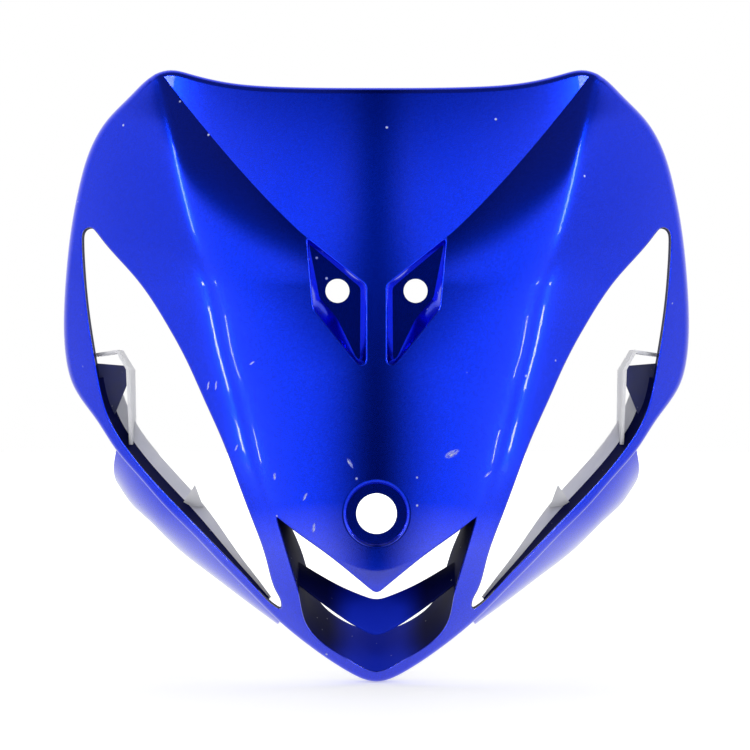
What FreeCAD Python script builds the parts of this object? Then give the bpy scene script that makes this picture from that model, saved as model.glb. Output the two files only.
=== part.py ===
import FreeCAD, Part
import math
import os

V = FreeCAD.Vector

# Front fairing panel of a small sports motorbike, moulded as one thin shell.
# X is across the bike, Y points into the panel from the front, Z is up.
# The origin is the centre of the badge hole on the floor of the badge recess.

# Wall and edges
WALL = 2.8
RETURN_DEPTH = 18.0
EDGE_ROLL = 4.0
BACK = 330.0

# Centre line of the nose, an arc seen from the side
NOSE_Y = -4.0
NOSE_Z = 20.0
NOSE_RADIUS = 1090.0
CHIN_Z = -45.0
CHIN_FALL = 0.005

# Central screen shield, crowned, standing in the valley between the two wings
SHIELD_RADIUS = 320.0
SHIELD_PROUD = 0.15
SHIELD_FLOOR = 0.004
SHIELD_LAP = 7.0
SHIELD_TOP = 312.0
VALLEY_Z = 151.0
CREASE_LAP = 7.4

# Ridge along each wing: height, distance from the centre line, fall from the centre line
RIDGE = [
    (-130.0, 26.0, 4.0),
    (-112.0, 32.0, 7.0),
    (-86.0, 44.0, 12.0),
    (-58.0, 58.0, 15.0),
    (-31.0, 65.5, 15.5),
    (-1.5, 72.0, 17.0),
    (25.0, 81.0, 20.0),
    (76.0, 94.5, 23.5),
    (103.0, 102.0, 23.5),
    (137.0, 110.5, 20.5),
    (178.0, 121.0, 13.0),
    (226.0, 132.0, 5.0),
    (261.0, 141.0, 3.0),
    (290.0, 148.0, 2.0),
    (310.0, 160.0, 2.0),
]
RIDGE_WIDTH = 6.0
FLANK_SLOPE = 0.75
FLANK_CURVE = 0.00205
FLAT_WING_Z = 95.0
FLAT_WING_RISE = 130.0
SKIN_HALF_WIDTH = 240.0
SKIN_CHIN_WIDTH = 60.0
SKIN_SPREAD = 1.2
SKIN_ROWS = 25
RIDGE_STEPS = [0.0, 0.2, 0.4, 0.6, 0.76, 0.88, 0.96, 1.04, 1.13]
OUTER_STEPS = [0.14, 0.3, 0.48, 0.66, 0.84, 1.0]

# Outline of the panel from the top centre to the chin, half of it
OUTLINE = [
    (0.0, 284.2),
    (65.0, 285.6),
    (99.0, 289.2),
    (126.5, 296.3),
    (141.0, 299.6),
    (152.0, 297.0),
    (169.0, 283.5),
    (186.5, 267.0),
    (199.0, 246.5),
    (207.0, 221.0),
    (213.0, 193.0),
    (218.0, 158.0),
    (220.7, 128.0),
    (219.8, 104.0),
    (214.8, 85.0),
    (196.4, 60.0),
    (181.6, 39.5),
    (165.4, 22.2),
    (144.0, 0.0),
    (125.6, -16.6),
    (107.4, -34.0),
    (87.1, -53.0),
    (65.1, -73.9),
    (41.1, -92.6),
    (19.7, -106.7),
    (0.0, -114.0),
]

# Badge recess with its hole and locating groove
BADGE_SEAT_R = 20.0
BADGE_ROLL = 2.0
BADGE_HOLE_R = 13.4
GROOVE_WIDTH = 2.1
GROOVE_DEPTH = 1.2
GROOVE_TOP = 19.0

# Pockets with the stay bolt holes: corner on the skin, corner on the floor
POCKET_Y = 17.0
POCKET = [
    (46.1, 182.4, 44.9, 178.7),
    (7.1, 151.0, 10.6, 149.7),
    (7.1, 99.4, 11.0, 101.5),
    (11.5, 98.1, 13.3, 102.8),
    (27.4, 116.6, 26.3, 129.4),
    (42.0, 135.2, 37.9, 142.8),
]
STAY_HOLE_R = 8.0
STAY_HOLE_X = 26.0
STAY_HOLE_Z = 147.5

# Intake mouth: point on the skin, point at the back of the tunnel
MOUTH_BACK = 66.0
MOUTH_LIP = [
    (66.2, -3.0, 60.0, -8.0),
    (55.3, -11.2, 52.0, -13.0),
    (31.4, -28.0, 31.4, -28.0),
    (15.7, -40.4, 15.7, -40.4),
    (5.0, -49.2, 5.0, -49.2),
    (0.0, -52.0, 0.0, -52.0),
]
MOUTH_BOWL = [
    (57.7, -31.2, 50.5, -30.0),
    (51.4, -55.8, 44.0, -51.7),
    (46.9, -74.6, 38.5, -63.0),
    (36.3, -87.0, 29.0, -72.0),
    (19.7, -97.7, 14.0, -80.0),
    (0.0, -106.7, 0.0, -83.0),
]

# Chevron blade across the mouth
BLADE_FRONT_Y = 18.0
BLADE_REAR_Y = 42.0
BLADE_FRONT = [(56.5, -43.5), (38.3, -57.7), (19.6, -71.0), (7.0, -78.4), (0.0, -80.5)]
BLADE_REAR = [(53.0, -33.5), (38.0, -42.6), (25.9, -49.3), (9.0, -56.6), (0.0, -58.8)]
BLADE_THICK = 3.0

# Flank under the lamp: point on the outline, rear point and its depth
FLANK_BULGE = 4.0
FLANK = [
    (181.6, 39.5, 184.0, 12.5, 165.0),
    (165.4, 22.2, 174.5, 0.5, 152.0),
    (144.0, 0.0, 160.0, -11.5, 137.0),
    (125.6, -16.6, 140.0, -29.0, 118.0),
    (107.4, -34.0, 116.5, -45.0, 94.0),
    (87.1, -53.0, 92.0, -61.0, 70.0),
    (65.1, -73.9, 66.5, -77.5, 50.0),
]

# Lamp seat behind the lower edge of the headlight opening: point on the edge, scale
SEAT = [
    (194.2, 89.4, 0.9),
    (187.1, 63.4, 1.0),
    (171.8, 39.3, 1.0),
    (143.8, 9.3, 1.0),
    (125.5, -7.9, 0.9),
    (94.5, -37.3, 0.45),
]
SEAT_PROFILE = [(-1.2, 5.0), (5.0, 21.0), (13.0, 29.0), (11.6, 31.2), (3.0, 22.6), (-2.4, 9.0)]

# Lamp bracket and lug behind the headlight opening
BRACKET_REAR_Y = 150.0
BRACKET_THICK = 2.5
BRACKET_SETBACK = 14.0
BRACKET = [(199.6, 106.5), (179.5, 109.0), (171.0, 95.0), (170.0, 43.0)]
SCREW_HOLE_R = 2.5
SCREW_HOLE_Y = 130.0
SCREW_HOLE_Z = 84.0
LUG_Y = 86.0
LUG_THICK = 3.0
LUG = [(133.5, 3.0), (125.0, 16.0), (112.5, -17.5)]

# Headlight opening
LAMP = [
    (188.6, 184.3),
    (163.0, 156.2),
    (143.9, 128.7),
    (128.5, 101.6),
    (116.0, 74.7),
    (103.6, 47.9),
    (93.3, 21.3),
    (83.1, -5.3),
    (73.6, -31.8),
    (67.0, -53.1),
    (63.7, -61.5),
    (64.4, -64.6),
    (67.3, -63.6),
    (79.0, -52.8),
    (94.5, -37.3),
    (125.5, -7.9),
    (143.8, 9.3),
    (171.8, 39.3),
    (187.1, 63.4),
    (194.2, 89.4),
    (197.5, 108.9),
    (201.7, 140.2),
    (203.5, 167.8),
    (204.0, 185.0),
    (202.3, 191.8),
    (197.7, 193.3),
    (193.2, 190.0),
]


# The crease between shield and wing ends just past the upper corner of the outline
corner_x, corner_z = max(OUTLINE, key=lambda point: point[1])
valley_fall = (corner_x + CREASE_LAP) ** 2 / (2.0 * SHIELD_RADIUS * (corner_z - VALLEY_Z) ** 1.5)


def rail(z, column):
    """Smooth value of one column of the ridge table at height z."""
    last = len(RIDGE) - 1
    z = max(RIDGE[0][0], min(RIDGE[last][0], z))
    i = 0
    while i < last - 1 and z > RIDGE[i + 1][0]:
        i += 1

    def slope(j):
        a = RIDGE[max(j - 1, 0)]
        b = RIDGE[min(j + 1, last)]
        return (b[column] - a[column]) / (b[0] - a[0])

    step = RIDGE[i + 1][0] - RIDGE[i][0]
    t = (z - RIDGE[i][0]) / step
    start = (2 * t ** 3 - 3 * t ** 2 + 1) * RIDGE[i][column]
    leave = (t ** 3 - 2 * t ** 2 + t) * step * slope(i)
    end = (3 * t ** 2 - 2 * t ** 3) * RIDGE[i + 1][column]
    reach = (t ** 3 - t ** 2) * step * slope(i + 1)
    return start + leave + end + reach


def centre_y(z):
    """Depth of the centre line at height z."""
    return NOSE_Y + (z - NOSE_Z) ** 2 / (2.0 * NOSE_RADIUS)


def wing_y(x, z):
    """Depth of the wing, the ridge and the outer face at one point of the front view."""
    a = abs(x)
    ridge = rail(z, 1)
    fall = rail(z, 2)
    t = max(0.0, min(1.0, (z - FLAT_WING_Z) / FLAT_WING_RISE))
    power = 2.0 + 3.0 * t * t * (3.0 - 2.0 * t)
    slope = power * fall / ridge
    out = a - ridge
    y = centre_y(z)
    y += valley_fall * max(0.0, z - VALLEY_Z) ** 1.5
    y += CHIN_FALL * max(0.0, CHIN_Z - z) ** 2
    y += fall * (a / ridge) ** power if out < 0.0 else fall + slope * out
    y += (FLANK_SLOPE - slope) * (out + math.hypot(out, RIDGE_WIDTH)) / 2.0
    return y + FLANK_CURVE * max(0.0, out) ** 2


def shield_y(x, z):
    """Depth of the screen shield at one point of the front view."""
    crown = x * x / (2.0 * SHIELD_RADIUS)
    return centre_y(z) + crown + SHIELD_FLOOR * max(0.0, VALLEY_Z - z) ** 2 - SHIELD_PROUD


def valley_x(z):
    """Distance of the valley between shield and wing from the centre line."""
    return math.sqrt(2.0 * SHIELD_RADIUS * valley_fall * max(0.0, z - VALLEY_Z) ** 1.5)


def inward(depth, x, z):
    """Unit vector at right angles to a skin, pointing into the panel."""
    h = 0.05
    dx = (depth(x + h, z) - depth(x - h, z)) / (2.0 * h)
    dz = (depth(x, z + h) - depth(x, z - h)) / (2.0 * h)
    n = V(-dx, 1.0, -dz)
    n.normalize()
    return n


def sharpened(net):
    """Control net whose smooth surface runs through the points of the given net."""
    result = [list(line) for line in net]
    for line, old in zip(result, net):
        for i in range(1, len(old) - 1):
            line[i] = old[i] - (old[i - 1] - old[i] * 2.0 + old[i + 1]) / 6.0
    return result


def skin_body(depth, grid, inset):
    """Everything behind a skin that is moved inward by inset."""
    poles = []
    for row in grid:
        poles.append([V(x, depth(x, z), z) + inward(depth, x, z) * inset for x, z in row])
    poles = sharpened([list(line) for line in zip(*sharpened(poles))])
    rows = len(poles)
    columns = len(poles[0])
    surface = Part.BSplineSurface()
    surface.buildFromPolesMultsKnots(
        poles,
        [4] + [1] * (rows - 4) + [4],
        [4] + [1] * (columns - 4) + [4],
        list(range(rows - 2)),
        list(range(columns - 2)),
        False,
        False,
        3,
        3,
    )
    return surface.toShape().extrude(V(0, BACK, 0))


def wing_grid():
    rows = []
    low = RIDGE[0][0]
    high = RIDGE[-1][0]
    for i in range(SKIN_ROWS):
        z = low + (high - low) * i / (SKIN_ROWS - 1)
        ridge = rail(z, 1)
        half = [ridge * s for s in RIDGE_STEPS]
        width = min(SKIN_HALF_WIDTH, SKIN_CHIN_WIDTH + SKIN_SPREAD * (z - low))
        half += [half[-1] + (width - half[-1]) * s for s in OUTER_STEPS]
        rows.append([(-x, z) for x in reversed(half[1:])] + [(x, z) for x in half])
    return rows


def shield_grid():
    rows = []
    for i in range(9):
        z = VALLEY_Z - 46.0 + (SHIELD_TOP - VALLEY_Z + 46.0) * i / 8
        rows.append([(SKIN_HALF_WIDTH * (j - 6) / 6.0 * 0.75, z) for j in range(13)])
    return rows


def grow(points, distance):
    """Closed outline with every point moved out at right angles to its neighbours."""
    area = 0.0
    count = len(points)
    for i in range(count):
        x0, z0 = points[i]
        x1, z1 = points[(i + 1) % count]
        area += x0 * z1 - x1 * z0
    side = 1.0 if area > 0 else -1.0
    moved = []
    for i in range(count):
        x0, z0 = points[i - 1]
        x1, z1 = points[i]
        x2, z2 = points[(i + 1) % count]
        a = V(x1 - x0, z1 - z0, 0).normalize()
        b = V(x2 - x1, z2 - z1, 0).normalize()
        n = V(a.y + b.y, -a.x - b.x, 0).normalize()
        reach = min(2.0, 1.0 / max(0.2, n.dot(V(a.y, -a.x, 0))))
        moved.append((x1 + side * distance * reach * n.x, z1 + side * distance * reach * n.y))
    return moved


def mirrored(half):
    return half + [(-x, z) for x, z in reversed(half[1:-1])]


def smooth_prism(points, y0, y1):
    """Prism along Y over a smooth closed outline."""
    curve = Part.BSplineCurve()
    curve.interpolate([V(x, y0, z) for x, z in points], PeriodicFlag=True)
    face = Part.Face(Part.Wire(curve.toShape()))
    return face.extrude(V(0, y1 - y0, 0))


def both_sides(shape):
    return [shape, shape.mirror(V(0, 0, 0), V(1, 0, 0))]


def shield_prism():
    low = VALLEY_Z - 30.0
    half = [(0.0, low), (2.0 * SHIELD_LAP, low), (2.0 * SHIELD_LAP, VALLEY_Z)]
    steps = 8
    for i in range(1, steps + 1):
        z = VALLEY_Z + (SHIELD_TOP - VALLEY_Z) * i / steps
        half.append((valley_x(z) + SHIELD_LAP, z))
    half.append((0.0, SHIELD_TOP))
    corners = [V(x, -60.0, z) for x, z in mirrored(half)]
    return Part.Face(Part.makePolygon(corners + corners[:1])).extrude(V(0, BACK + 200.0, 0))


def skins(inset):
    """Everything behind the front skin of wings and shield."""
    wings = skin_body(wing_y, wing_grid(), inset)
    shield = skin_body(shield_y, shield_grid(), inset).common(shield_prism())
    return wings.fuse(shield)


def at_depth(front, rear, y_rear, y, out):
    """Closed list of points at depth y on the straight lines from front to rear points."""
    points = []
    for i in range(len(front)):
        x, z = front[i]
        y0 = wing_y(x, z)
        s = (y - y0) / (y_rear - y0)
        points.append((x + (rear[i][0] - x) * s, z + (rear[i][1] - z) * s))
    return grow(points, out)


def mouth_wire(y, out):
    """Outline of the mouth tunnel at depth y, grown by out."""
    half = MOUTH_LIP[::-1] + MOUTH_BOWL
    full = half + [(-a, b, -c, d) for a, b, c, d in reversed(half[1:-1])]
    corner = len(MOUTH_LIP) - 1
    points = at_depth([p[:2] for p in full], [p[2:] for p in full], MOUTH_BACK, y, out)
    points = [V(x, y, z) for x, z in points]
    points = points[corner:] + points[:corner]
    turn = len(points) - 2 * corner
    bowl = Part.BSplineCurve()
    bowl.interpolate(points[:turn + 1])
    lip = Part.BSplineCurve()
    lip.interpolate(points[turn:] + points[:1])
    return Part.Wire([bowl.toShape(), lip.toShape()])


def pocket_body(y_front, y_floor, out):
    front = [p[:2] for p in POCKET]
    floor = [p[2:] for p in POCKET]
    wires = []
    for y in (y_front, y_floor):
        points = [V(x, y, z) for x, z in at_depth(front, floor, POCKET_Y, y, out)]
        wires.append(Part.makePolygon(points + points[:1]))
    return Part.makeLoft(wires, True, True)


def blade_curve(half, y):
    curve = Part.BSplineCurve()
    full = half + [(-x, z) for x, z in reversed(half[:-1])]
    curve.interpolate([V(x, y, z) for x, z in full])
    return curve.toShape()


def side_normal(points, i, toward):
    """Unit normal of an open line of points at point i, on the side of toward."""
    x0, z0 = points[max(i - 1, 0)][:2]
    x1, z1 = points[min(i + 1, len(points) - 1)][:2]
    n = V(z1 - z0, 0, x0 - x1).normalize()
    x, z = points[i][:2]
    if n.dot(V(toward[0] - x, 0, toward[1] - z)) < 0:
        n = -n
    return n


def flank_body():
    wires = []
    for i, (x, z, xr, zr, yr) in enumerate(FLANK):
        n = side_normal(FLANK, i, (0.0, 100.0))
        a = V(x, wing_y(x, z) + EDGE_ROLL + 1.0, z) + n * 0.5
        b = V(xr, yr, zr)
        m = (a + b) * 0.5 - n * (FLANK_BULGE * (b - a).Length / 60.0)
        t = n * WALL
        outer = Part.Arc(a, m, b).toShape()
        inner = Part.Arc(b + t, m + t, a + t).toShape()
        ends = [Part.makeLine(b, b + t), Part.makeLine(a + t, a)]
        wires.append(Part.Wire([outer, ends[0], inner, ends[1]]))
    return Part.makeLoft(wires, True, False)


def seat_body():
    wires = []
    for i, (x, z, scale) in enumerate(SEAT):
        n = side_normal(SEAT, i, (120.0, 80.0))
        edge = V(x, wing_y(x, z), z)
        points = [edge + (n * s + V(0, d, 0)) * scale for s, d in SEAT_PROFILE]
        wires.append(Part.makePolygon(points + points[:1]))
    return Part.makeLoft(wires, True, False)


def bracket_body(front):
    outer = [V(x, 0, z) for x, z in BRACKET]
    points = []
    for i, p in enumerate(outer):
        n = side_normal(BRACKET, i, (190.0, 80.0))
        points.append(p + n * BRACKET_THICK)
    corners = outer + points[::-1]
    plate = Part.Face(Part.makePolygon(corners + corners[:1])).extrude(V(0, BRACKET_REAR_Y, 0))
    limit = front.copy()
    limit.translate(V(0, BRACKET_SETBACK, 0))
    start = V(BRACKET[-1][0] - 10.0, SCREW_HOLE_Y, SCREW_HOLE_Z)
    hole = Part.makeCylinder(SCREW_HOLE_R, 20.0, start, V(1, 0, 0))
    return plate.common(limit).cut(hole)


def lug_body():
    corners = [V(x, LUG_Y, z) for x, z in LUG]
    return Part.Face(Part.makePolygon(corners + corners[:1])).extrude(V(0, LUG_THICK, 0))


def outline_edges(solid):
    """Edges where the wings turn into a wall that runs along Y."""
    found = []
    for edge in solid.Edges:
        span = edge.LastParameter - edge.FirstParameter
        points = [edge.valueAt(edge.FirstParameter + span * t) for t in (0.08, 0.3, 0.5, 0.7, 0.92)]
        if max(abs(p.y - wing_y(p.x, p.z)) for p in points) > 1.0:
            continue
        types = [face.Surface.TypeId for face in solid.ancestorsOfType(edge, Part.Face)]
        if "Part::GeomSurfaceOfExtrusion" in types and "Part::GeomBSplineSurface" in types:
            found.append(edge)
    return found


def badge_edges(solid):
    """Edges where the wall of the badge recess meets the skin."""
    found = []
    for edge in solid.Edges:
        p = edge.valueAt((edge.FirstParameter + edge.LastParameter) / 2.0)
        around = abs(math.hypot(p.x, p.z) - BADGE_SEAT_R) < 0.01
        if around and abs(p.y - wing_y(p.x, p.z)) < 0.5 and edge.BoundBox.XLength > 1.0:
            found.append(edge)
    return found


def blade_body():
    front = blade_curve(BLADE_FRONT, BLADE_FRONT_Y)
    rear = blade_curve(BLADE_REAR, BLADE_REAR_Y)
    drop = BLADE_THICK * math.sqrt(0.5)
    return Part.makeRuledSurface(front, rear).extrude(V(0, drop, -drop))


def cylinder(radius, x, z, y0, y1):
    return Part.makeCylinder(radius, y1 - y0, V(x, y0, z), V(0, 1, 0))


def fairing_panel():
    """The whole panel as one solid."""
    outline = mirrored(OUTLINE)
    front = skins(0.0)
    middle = front.copy()
    middle.translate(V(0, WALL / 2.0, 0))
    behind = front.copy()
    behind.translate(V(0, RETURN_DEPTH, 0))

    # Skin with its return along the outline and round the headlight openings
    slab = front.common(smooth_prism(outline, -60.0, BACK + 200.0)).cut(behind)
    core = skins(WALL).common(smooth_prism(grow(outline, -WALL), -60.0, BACK + 200.0))
    core = core.cut(both_sides(smooth_prism(grow(LAMP, WALL), -60.0, BACK + 250.0)))
    shell = slab.cut(core)

    # Walls of the mouth, the badge recess and the pockets
    tunnel = Part.makeLoft([mouth_wire(-25.0, 0.0), mouth_wire(MOUTH_BACK + 6.0, 0.0)], True, True)
    tunnel_wall = Part.makeLoft([mouth_wire(-25.0, WALL), mouth_wire(MOUTH_BACK, WALL)], True, True)
    badge_wall = cylinder(BADGE_SEAT_R + WALL, 0.0, 0.0, -20.0, WALL)
    walls = [tunnel_wall, badge_wall] + both_sides(pocket_body(-20.0, POCKET_Y + WALL, WALL))
    shell = shell.fuse([middle.common(wall) for wall in walls])

    # Openings, recesses and holes
    groove_top = GROOVE_TOP - GROOVE_WIDTH / 2.0
    groove_corner = V(-GROOVE_WIDTH / 2.0, -30.0, 0.0)
    cuts = [tunnel]
    cuts += both_sides(smooth_prism(LAMP, -60.0, BACK + 200.0))
    cuts += both_sides(pocket_body(-20.0, POCKET_Y, 0.0))
    cuts += both_sides(cylinder(STAY_HOLE_R, STAY_HOLE_X, STAY_HOLE_Z, 0.0, POCKET_Y + 30.0))
    cuts.append(cylinder(BADGE_SEAT_R, 0.0, 0.0, -30.0, 0.0))
    cuts.append(cylinder(BADGE_HOLE_R, 0.0, 0.0, -30.0, 30.0))
    cuts.append(Part.makeBox(GROOVE_WIDTH, 30.0 + GROOVE_DEPTH, groove_top, groove_corner))
    cuts.append(cylinder(GROOVE_WIDTH / 2.0, 0.0, groove_top, -30.0, GROOVE_DEPTH))
    shell = shell.cut(cuts)

    # Blade, flanks and what holds the lamps
    adds = [blade_body()]
    for piece in (flank_body(), seat_body(), bracket_body(front), lug_body()):
        adds += both_sides(piece)
    shell = shell.fuse(adds).Solids[0]
    edges = sorted(outline_edges(shell), key=lambda edge: edge.Length)
    shell = shell.makeFillet(EDGE_ROLL, edges[-1:])
    return shell.makeFillet(BADGE_ROLL, badge_edges(shell))


os.makedirs("parts", exist_ok=True)
fairing_panel().exportStep("parts/fairing_panel.step")
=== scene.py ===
"""Painted nose fairing of a sports motorbike on a pale studio floor."""
import math

import bmesh
import bpy
import numpy as np
from bpy.props import FloatProperty, FloatVectorProperty, PointerProperty
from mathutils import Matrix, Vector
from mathutils.geometry import delaunay_2d_cdt


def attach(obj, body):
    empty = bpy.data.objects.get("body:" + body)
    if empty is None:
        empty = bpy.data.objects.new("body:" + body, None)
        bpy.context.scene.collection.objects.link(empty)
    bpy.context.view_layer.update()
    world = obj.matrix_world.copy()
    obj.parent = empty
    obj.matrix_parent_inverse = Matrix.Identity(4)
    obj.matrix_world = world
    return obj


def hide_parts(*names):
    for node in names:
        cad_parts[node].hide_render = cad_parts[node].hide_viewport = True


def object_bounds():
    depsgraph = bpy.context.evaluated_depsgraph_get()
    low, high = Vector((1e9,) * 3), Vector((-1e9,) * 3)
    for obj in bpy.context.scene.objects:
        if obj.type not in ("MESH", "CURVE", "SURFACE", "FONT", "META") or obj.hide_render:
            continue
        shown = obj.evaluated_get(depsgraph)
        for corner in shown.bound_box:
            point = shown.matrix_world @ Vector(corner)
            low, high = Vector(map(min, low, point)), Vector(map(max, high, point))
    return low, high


bl_info = {
    "name": "Front fairing panel",
    "version": (1, 0, 0),
    "blender": (4, 5, 0),
    "location": "3D View > Sidebar > Fairing",
    "description": "Builds a painted motorbike nose fairing and a pale studio around it",
    "category": "Object",
}

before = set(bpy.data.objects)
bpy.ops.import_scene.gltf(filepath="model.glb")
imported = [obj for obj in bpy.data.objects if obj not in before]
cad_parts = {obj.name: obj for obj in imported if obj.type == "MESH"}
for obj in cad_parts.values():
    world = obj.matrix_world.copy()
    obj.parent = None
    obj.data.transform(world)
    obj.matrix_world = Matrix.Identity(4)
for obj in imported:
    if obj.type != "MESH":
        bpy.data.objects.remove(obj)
CAD_LOW, CAD_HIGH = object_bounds()
NODE = "fairing_panel"
MM = 0.001

# Shape of the panel in millimetres: X across, Y into the panel, Z up

NOSE_Y = -4.0
NOSE_Z = 20.0
NOSE_RADIUS = 1090.0
CHIN_Z = -45.0
CHIN_FALL = 0.005
SHIELD_RADIUS = 320.0
SHIELD_PROUD = 0.15
SHIELD_FLOOR = 0.004
SHIELD_LAP = 7.0
SHIELD_FOOT = 30.0
VALLEY_Z = 151.0
VALLEY_FALL = 0.019
RIDGE_WIDTH = 6.0
FLANK_SLOPE = 0.75
FLANK_CURVE = 0.00205
FLAT_WING_Z = 95.0
FLAT_WING_RISE = 130.0
# Step for slopes, and how much longer than the wall its depth may get on a slope
SLOPE_STEP = 0.05
STEEPEST_WALL = 1.7
# Ridge of a wing: height, distance from the centre line, fall from the centre line
RIDGE = [
    (-130.0, 26.0, 4.0), (-112.0, 32.0, 7.0), (-86.0, 44.0, 12.0), (-58.0, 58.0, 15.0),
    (-31.0, 65.5, 15.5), (-1.5, 72.0, 17.0), (25.0, 81.0, 20.0), (76.0, 94.5, 23.5),
    (103.0, 102.0, 23.5), (137.0, 110.5, 20.5), (178.0, 121.0, 13.0), (226.0, 132.0, 5.0),
    (261.0, 141.0, 3.0), (290.0, 148.0, 2.0), (310.0, 160.0, 2.0),
]
# Outline from the top centre to the chin, half of it
OUTLINE = [
    (0.0, 284.2), (65.0, 285.6), (99.0, 289.2), (126.5, 296.3), (141.0, 299.6), (152.0, 297.0),
    (169.0, 283.5), (186.5, 267.0), (199.0, 246.5), (207.0, 221.0), (213.0, 193.0), (218.0, 158.0),
    (220.7, 128.0), (219.8, 104.0), (214.8, 85.0), (196.4, 60.0), (181.6, 39.5), (165.4, 22.2),
    (144.0, 0.0), (125.6, -16.6), (107.4, -34.0), (87.1, -53.0), (65.1, -73.9), (41.1, -92.6),
    (19.7, -106.7), (0.0, -114.0),
]
# Share of the edge roll near the chin, and what it gains over a rise from a height
ROLL_LOW = 0.65
ROLL_GAIN = 0.5
ROLL_LOW_Z = 40.0
ROLL_RISE = 80.0
# Spacing of points along the edges
OUTLINE_STEP = 3.0
LAMP_STEP = 1.5
MOUTH_STEP = 2.5
POCKET_STEP = 2.0
CREASE_STEP = 3.0
# Gaps from the even points of the crease to the pocket below and to the top edge
CREASE_FOOT_GAP = 5.0
CREASE_TOP_GAP = 2.0
# Headlight opening
LAMP = [
    (188.6, 184.3), (163.0, 156.2), (143.9, 128.7), (128.5, 101.6), (116.0, 74.7), (103.6, 47.9),
    (93.3, 21.3), (83.1, -5.3), (73.6, -31.8), (67.0, -53.1), (63.7, -61.5), (64.4, -64.6),
    (67.3, -63.6), (79.0, -52.8), (94.5, -37.3), (125.5, -7.9), (143.8, 9.3), (171.8, 39.3), (187.1, 63.4),
    (194.2, 89.4), (197.5, 108.9), (201.7, 140.2), (203.5, 167.8), (204.0, 185.0), (202.3, 191.8),
    (197.7, 193.3), (193.2, 190.0),
]
BADGE_SEAT_R = 20.0
BADGE_RIM = 3.0
BADGE_HOLE_R = 13.4
# Share of the depth of the badge recess that is straight below its rounded rim
BADGE_STRAIGHT = 0.15
GROOVE_WIDTH = 2.1
GROOVE_DEPTH = 1.2
GROOVE_TOP = 19.0
GROOVE_END_POINTS = 9
# Pockets: corner on the skin, corner on the floor
POCKET_Y = 17.0
POCKET = [
    (46.1, 182.4, 44.9, 178.7), (7.1, 151.0, 10.6, 149.7), (7.1, 99.4, 11.0, 101.5),
    (11.5, 98.1, 13.3, 102.8), (27.4, 116.6, 26.3, 129.4), (42.0, 135.2, 37.9, 142.8),
]
STAY_HOLE_R = 8.0
STAY_HOLE_X = 26.0
STAY_HOLE_Z = 147.5
STAY_HOLE_POINTS = 40
# Points on the round edges of the badge recess
ROUND = 72
# Mouth: point on the skin, point at the back of the tunnel
MOUTH_BACK = 66.0
MOUTH_LIP = [
    (66.2, -3.0, 60.0, -8.0), (55.3, -11.2, 52.0, -13.0), (31.4, -28.0, 31.4, -28.0),
    (15.7, -40.4, 15.7, -40.4), (5.0, -49.2, 5.0, -49.2), (0.0, -52.0, 0.0, -52.0),
]
MOUTH_BOWL = [
    (57.7, -31.2, 50.5, -30.0), (51.4, -55.8, 44.0, -51.7), (46.9, -74.6, 38.5, -63.0),
    (36.3, -87.0, 29.0, -72.0), (19.7, -97.7, 14.0, -80.0), (0.0, -106.7, 0.0, -83.0),
]
BLADE_FRONT_Y = 18.0
BLADE_REAR_Y = 42.0
BLADE_FRONT = [(56.5, -43.5), (38.3, -57.7), (19.6, -71.0), (7.0, -78.4), (0.0, -80.5)]
BLADE_REAR = [(53.0, -33.5), (38.0, -42.6), (25.9, -49.3), (9.0, -56.6), (0.0, -58.8)]
BLADE_THICK = 3.0
BLADE_SEGMENTS = 60
BLADE_EDGE_POINTS = 14
# Flank: bulge over a span, gaps behind and inside the edge roll, point that its inner side faces
FLANK_BULGE = 4.0
FLANK_SPAN = 60.0
FLANK_SETBACK = 1.0
FLANK_INSET = 0.5
FLANK_MIDDLE = (0.0, 100.0)
FLANK_RINGS = 49
FLANK_STEPS = 12
# Point of the flank on the outline, its rear point and the depth of that
FLANK = [
    (181.6, 39.5, 184.0, 12.5, 165.0), (165.4, 22.2, 174.5, 0.5, 152.0),
    (144.0, 0.0, 160.0, -11.5, 137.0), (125.6, -16.6, 140.0, -29.0, 118.0),
    (107.4, -34.0, 116.5, -45.0, 94.0), (87.1, -53.0, 92.0, -61.0, 70.0),
    (65.1, -73.9, 66.5, -77.5, 50.0),
]
# Lamp seat: point on the lower edge of the opening, scale of its section
SEAT = [
    (194.2, 89.4, 0.9), (187.1, 63.4, 1.0), (171.8, 39.3, 1.0), (143.8, 9.3, 1.0),
    (125.5, -7.9, 0.9), (94.5, -37.3, 0.45),
]
SEAT_TIP = [(82.0, -49.0, 0.3), (72.0, -58.6, 0.16)]
SEAT_RINGS = 61
LAMP_MIDDLE = (120.0, 80.0)
SEAT_PROFILE = [(-1.2, 5.0), (5.0, 21.0), (13.0, 29.0), (11.6, 31.2), (3.0, 22.6), (-2.4, 9.0)]
BRACKET_REAR_Y = 150.0
BRACKET_THICK = 2.5
BRACKET_SETBACK = 14.0
BRACKET_STEPS = 24
BRACKET_MIDDLE = (190.0, 80.0)
BRACKET = [(199.6, 106.5), (179.5, 109.0), (171.0, 95.0), (170.0, 43.0)]
WEB_Y = 127.0
WEB_THICK = 3.0
WEB = [(200.0, 100.0), (176.0, 98.0), (175.5, 84.0), (184.5, 62.0), (198.0, 66.0)]
LUG_Y = 86.0
LUG_THICK = 3.0
LUG = [(133.5, 3.0), (125.0, 16.0), (112.5, -17.5)]


def cubic(t, span, a, slope_a, b, slope_b):
    """Smooth step from a to b, a span apart, that leaves and arrives at given slopes."""
    value = (2 * t ** 3 - 3 * t ** 2 + 1) * a + (t ** 3 - 2 * t ** 2 + t) * span * slope_a
    return value + (3 * t ** 2 - 2 * t ** 3) * b + (t ** 3 - t ** 2) * span * slope_b


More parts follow.
